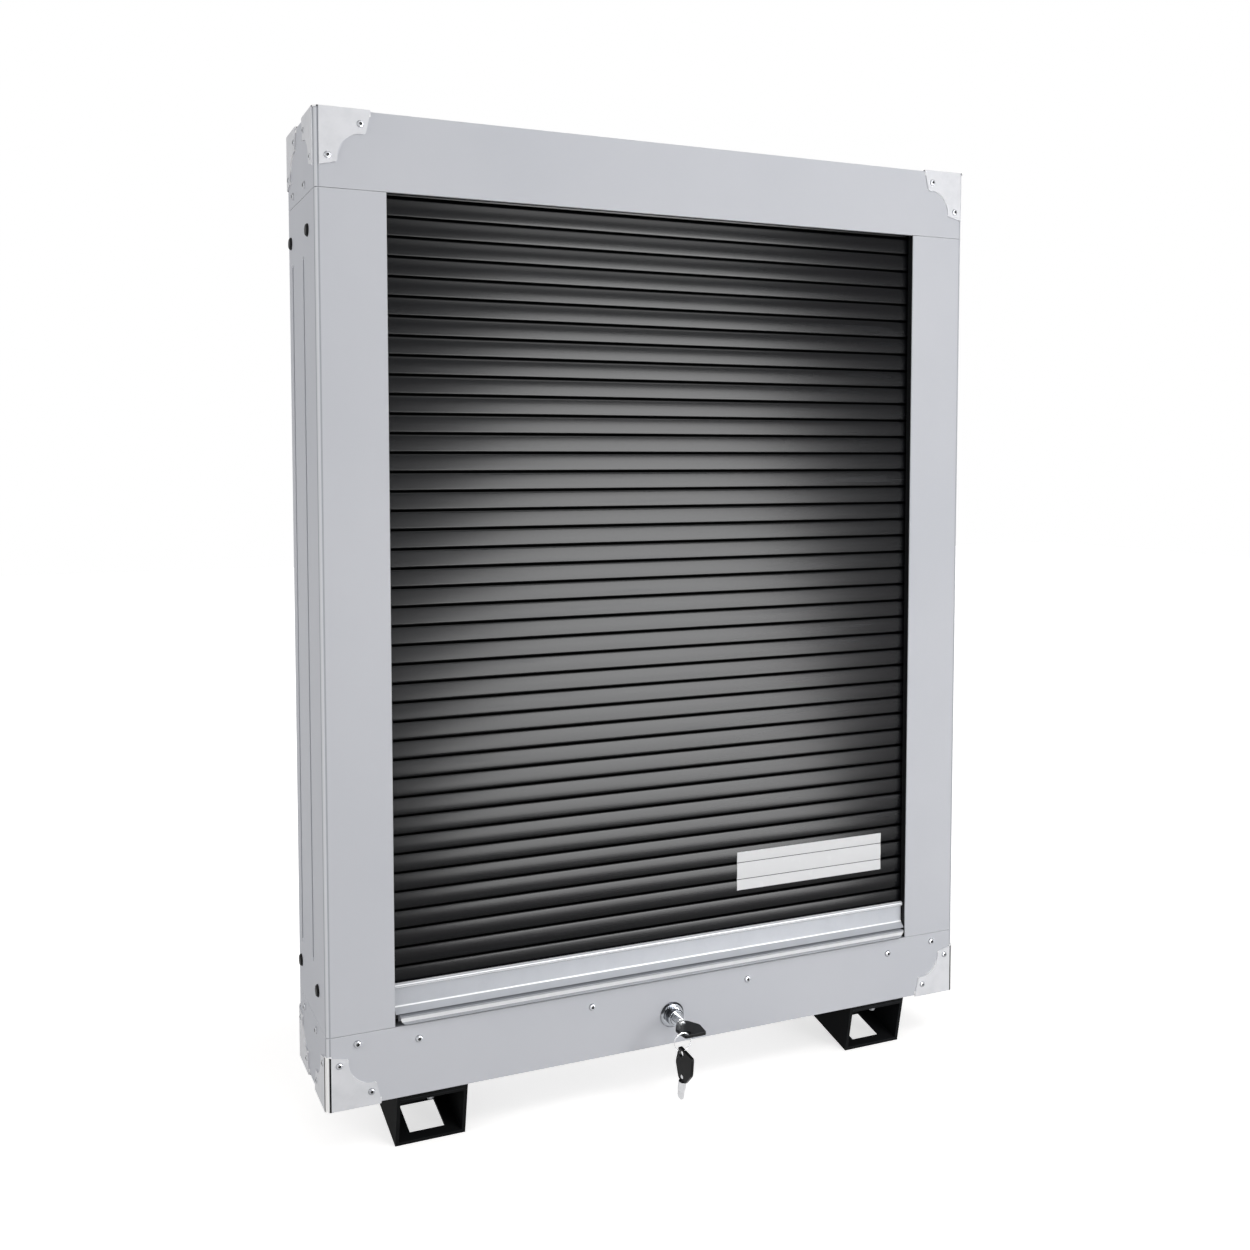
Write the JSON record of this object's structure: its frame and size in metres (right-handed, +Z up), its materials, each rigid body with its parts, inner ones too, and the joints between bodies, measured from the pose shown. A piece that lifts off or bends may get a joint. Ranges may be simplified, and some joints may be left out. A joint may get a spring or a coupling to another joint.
{
  "type": "wall-mounted tool cabinet",
  "caption": "Wall-mounted steel tool cabinet with a slatted shutter, cam lock, corner protectors, slotted inner panel and black hanging brackets below.",
  "frame": {"origin": "centre of the four wall screws, on the wall plane behind the back sheet", "axes": "+Z up, +Y into the wall, the shutter faces -Y, +X to the right as seen from the front"},
  "size_m": [0.626, 0.1769, 0.8472],
  "materials": {
    "shell_paint": "light cool grey powder coat with a fine texture",
    "inner_paint": "light grey powder coat",
    "protector_paint": "very light grey satin coat",
    "shutter_slats": "black satin",
    "track_plastic": "black, slightly glossy where the slats run",
    "glide_plastic": "black, low friction",
    "bar_finish": "light grey satin coat on extruded aluminium",
    "seal_rubber": "matt black",
    "bracket_paint": "black powder coat with a fine texture",
    "zinc_steel": "bright zinc plate",
    "lock_chrome": "polished chrome plate",
    "plug_plastic": "black, smooth",
    "key_plastic": "black moulded plastic",
    "key_steel": "nickel-plated steel"
  },
  "bodies": {
    "cabinet": {"back_sheet": "shell_paint", "bottom_rail": "shell_paint", "bracket_left": "bracket_paint", "bracket_right": "bracket_paint", "bracket_screws": "zinc_steel", "corner_protector_bottom_front_left": "protector_paint", "corner_protector_bottom_front_right": "protector_paint", "corner_protector_bottom_rear_left": "protector_paint", "corner_protector_bottom_rear_right": "protector_paint", "corner_protector_top_front_left": "protector_paint", "corner_protector_top_front_right": "protector_paint", "corner_protector_top_rear_left": "protector_paint", "corner_protector_top_rear_right": "protector_paint", "floor_shelf": "inner_paint", "front_track_left": "track_plastic", "front_track_right": "track_plastic", "header_rail": "shell_paint", "hole_plugs": "plug_plastic", "lock_body": "lock_chrome", "lock_nut": "zinc_steel", "panel_screws": "zinc_steel", "rail_screws": "zinc_steel", "rear_track_left": "track_plastic", "rear_track_right": "track_plastic", "side_column_left": "shell_paint", "side_column_right": "shell_paint", "side_liner_left": "inner_paint", "side_liner_right": "inner_paint", "slat_curtain": "shutter_slats", "tool_panel": "inner_paint"},
    "shutter_bar": {"bottom_bar": "bar_finish", "bar_seal": "seal_rubber", "bar_glide_left": "glide_plastic", "bar_glide_right": "glide_plastic", "bar_strike": "zinc_steel"},
    "lock_barrel": {"lock_plug": "lock_chrome", "lock_cam": "zinc_steel", "cam_screw": "zinc_steel"},
    "key": {"key_head": "key_plastic", "key_blade": "key_steel"},
    "ring": {"key_ring": "key_steel"},
    "spare_key": {"spare_key_head": "key_plastic", "spare_key_blade": "key_steel"}
  },
  "joints": [
    {"name": "shutter_slide", "type": "slide", "parent": "cabinet", "child": "shutter_bar", "axis": [0, 0, 1], "range_m": [0, 0.65], "deforming": ["slat_curtain"]},
    {"name": "lock_turn", "type": "hinge", "parent": "cabinet", "child": "lock_barrel", "pos_m": [0, -0.118, -0.373], "axis": [0, 1, 0], "range_deg": [0, 90]},
    {"name": "key_pull", "type": "slide", "parent": "lock_barrel", "child": "key", "axis": [0, -1, 0], "range_m": [0, 0.012]},
    {"name": "ring_swing", "type": "hinge", "parent": "key", "child": "ring", "pos_m": [-0.0109, -0.1608, -0.373], "axis": [1, 0, 0], "range_deg": [-30, 15]},
    {"name": "spare_swing", "type": "hinge", "parent": "ring", "child": "spare_key", "pos_m": [-0.0109, -0.1608, -0.3865], "axis": [1, 0, 0], "range_deg": [-60, 25]}
  ]
}
